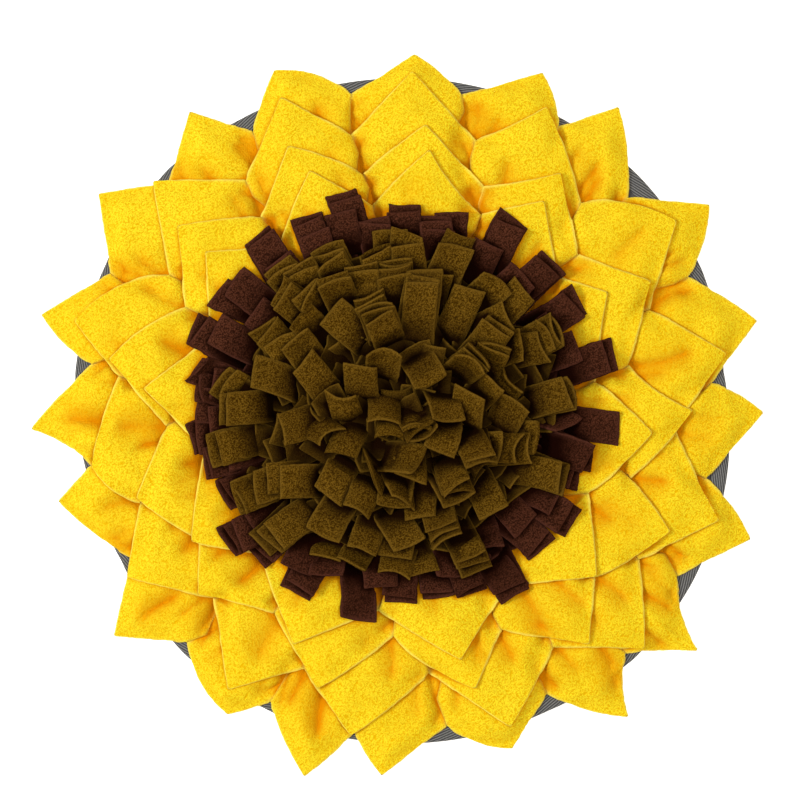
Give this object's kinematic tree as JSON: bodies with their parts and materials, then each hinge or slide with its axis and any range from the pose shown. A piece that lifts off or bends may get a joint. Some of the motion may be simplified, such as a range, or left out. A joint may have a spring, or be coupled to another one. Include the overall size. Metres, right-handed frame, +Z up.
{
  "type": "snuffle mat",
  "caption": "Round sunflower snuffle mat for a pet: overlapping rings of yellow fleece petals and a thick middle of brown and olive fleece strips, where dry food is hidden.",
  "frame": {"origin": "centre of the flat underside of the base, on the surface that the mat lies on", "axes": "+Z up out of the petals, +Y towards the top of the picture, +X towards its right"},
  "size_m": [0.4973, 0.4915, 0.0626],
  "materials": {
    "petal_fleece": "matt brushed fleece, warm yellow",
    "brown_fleece": "matt brushed fleece, dark brown",
    "olive_fleece": "matt brushed fleece, dark olive",
    "webbing": "ribbed woven webbing, grey with dark diagonal lines",
    "base_fabric": "plain woven fabric, grey"
  },
  "bodies": {
    "root": {"base": "base_fabric", "binding": "webbing", "brown_strips": "brown_fleece", "olive_strips": "olive_fleece", "petal_inner_ring": "petal_fleece", "petal_outer_01": "petal_fleece", "petal_outer_02": "petal_fleece", "petal_outer_03": "petal_fleece", "petal_outer_04": "petal_fleece", "petal_outer_05": "petal_fleece", "petal_outer_06": "petal_fleece", "petal_outer_07": "petal_fleece", "petal_outer_08": "petal_fleece", "petal_outer_09": "petal_fleece", "petal_outer_10": "petal_fleece", "petal_outer_11": "petal_fleece", "petal_outer_12": "petal_fleece", "petal_outer_13": "petal_fleece", "petal_outer_14": "petal_fleece", "petal_outer_15": "petal_fleece", "petal_outer_16": "petal_fleece", "petal_outer_17": "petal_fleece", "petal_outer_18": "petal_fleece", "petal_outer_19": "petal_fleece", "petal_outer_20": "petal_fleece", "petal_second_01": "petal_fleece", "petal_second_02": "petal_fleece", "petal_second_03": "petal_fleece", "petal_second_04": "petal_fleece", "petal_second_05": "petal_fleece", "petal_second_06": "petal_fleece", "petal_second_07": "petal_fleece", "petal_second_08": "petal_fleece", "petal_second_09": "petal_fleece", "petal_second_10": "petal_fleece", "petal_second_11": "petal_fleece", "petal_second_12": "petal_fleece", "petal_second_13": "petal_fleece", "petal_second_14": "petal_fleece", "petal_third_01": "petal_fleece", "petal_third_02": "petal_fleece", "petal_third_03": "petal_fleece", "petal_third_04": "petal_fleece", "petal_third_05": "petal_fleece", "petal_third_06": "petal_fleece", "petal_third_07": "petal_fleece", "petal_third_08": "petal_fleece", "petal_third_09": "petal_fleece", "petal_third_10": "petal_fleece", "petal_third_11": "petal_fleece", "petal_third_12": "petal_fleece", "petal_third_13": "petal_fleece"}
  },
  "joints": []
}
